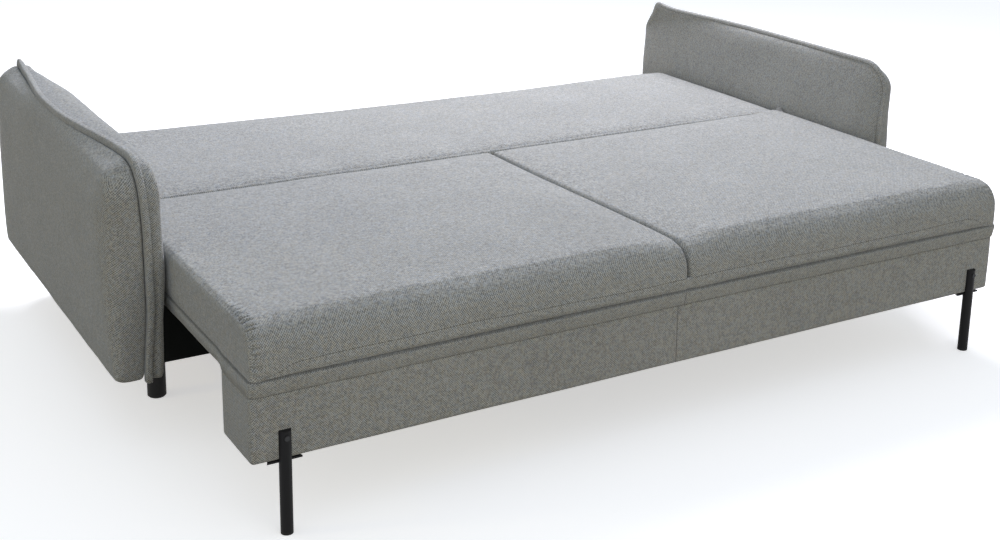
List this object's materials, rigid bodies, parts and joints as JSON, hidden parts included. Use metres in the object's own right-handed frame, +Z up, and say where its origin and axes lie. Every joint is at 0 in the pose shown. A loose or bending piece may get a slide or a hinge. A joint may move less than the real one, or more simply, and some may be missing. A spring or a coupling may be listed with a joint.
{
  "type": "sofa bed with storage",
  "caption": "Long upholstered sofa pulled out flat as a bed: sliding seat on slim legs, folding backrest, padded flanged arms and a storage chest below.",
  "frame": {"origin": "on the floor, in the middle of the footprint of the opened bed", "axes": "+X along the length to the right as seen from the front, -Y to the front, +Z up"},
  "size_m": [2.22, 1.544, 0.645],
  "materials": {
    "upholstery": "woven chenille with a fine diagonal texture",
    "black_felt": "felt-covered board",
    "timber": "sawn softwood",
    "hardboard": "thin pressed board",
    "black_metal": "satin powder coat",
    "zinc_steel": "zinc plated",
    "black_plastic": "moulded",
    "nylon": "moulded",
    "webbing": "woven elastic"
  },
  "bodies": {
    "base": {"base_front_panel": "black_felt", "base_rear_panel": "black_felt", "base_side_left": "black_felt", "base_side_right": "black_felt", "storage_floor": "hardboard", "floor_bearers": "timber", "corner_blocks": "timber", "base_leg_front_left": "black_plastic", "base_leg_front_right": "black_plastic", "base_leg_rear_left": "black_plastic", "base_leg_rear_right": "black_plastic", "arm_panel_left": "timber", "arm_panel_right": "timber", "arm_inner_pad_left": "upholstery", "arm_inner_pad_right": "upholstery", "arm_outer_pad_left": "upholstery", "arm_outer_pad_right": "upholstery", "arm_flange_left": "upholstery", "arm_flange_right": "upholstery", "arm_batten_left": "timber", "arm_batten_right": "timber", "arm_bolts": "zinc_steel", "fixed_channel_left": "zinc_steel", "fixed_channel_right": "zinc_steel", "guide_track_left": "zinc_steel", "guide_track_right": "zinc_steel"},
    "carriage": {"slide_rail_left": "zinc_steel", "slide_rail_right": "zinc_steel", "hinge_bracket_left": "zinc_steel", "hinge_bracket_right": "zinc_steel", "glide_blocks": "nylon", "cross_tube": "black_metal", "hinge_pins": "zinc_steel"},
    "seat": {"seat_cushion_left": "upholstery", "seat_cushion_right": "upholstery", "seat_border": "upholstery", "seat_front_rail": "timber", "seat_rear_rail": "timber", "seat_side_rail_left": "timber", "seat_side_rail_right": "timber", "seat_springs": "zinc_steel", "apron_front_board": "timber", "apron_rear_board": "timber", "apron_ends": "timber", "apron_cover": "upholstery", "slim_leg_left": "black_metal", "slim_leg_right": "black_metal", "leg_glides": "black_plastic", "leg_screws": "zinc_steel", "seat_hinge_plates": "zinc_steel"},
    "backrest": {"back_cushion": "upholstery", "back_front_rail": "timber", "back_rear_rail": "timber", "back_side_rail_left": "timber", "back_side_rail_right": "timber", "back_webbing": "webbing", "back_panel": "hardboard", "back_lever_left": "zinc_steel", "back_lever_right": "zinc_steel", "guide_studs": "nylon"}
  },
  "joints": [
    {"name": "seat_slide", "type": "slide", "parent": "base", "child": "carriage", "axis": [0, 1, 0], "range_m": [0, 0.47]},
    {"name": "seat_lift", "type": "hinge", "parent": "carriage", "child": "seat", "pos_m": [0, 0.088, 0.426], "axis": [-1, 0, 0], "range_deg": [0, 45]},
    {"name": "back_fold", "type": "hinge", "parent": "carriage", "child": "backrest", "pos_m": [0, 0.088, 0.426], "axis": [1, 0, 0], "range_deg": [0, 80]}
  ],
  "couplings": [
    {"joint": "back_fold", "follows": "seat_slide", "rad_per_m": 2.9708}
  ]
}
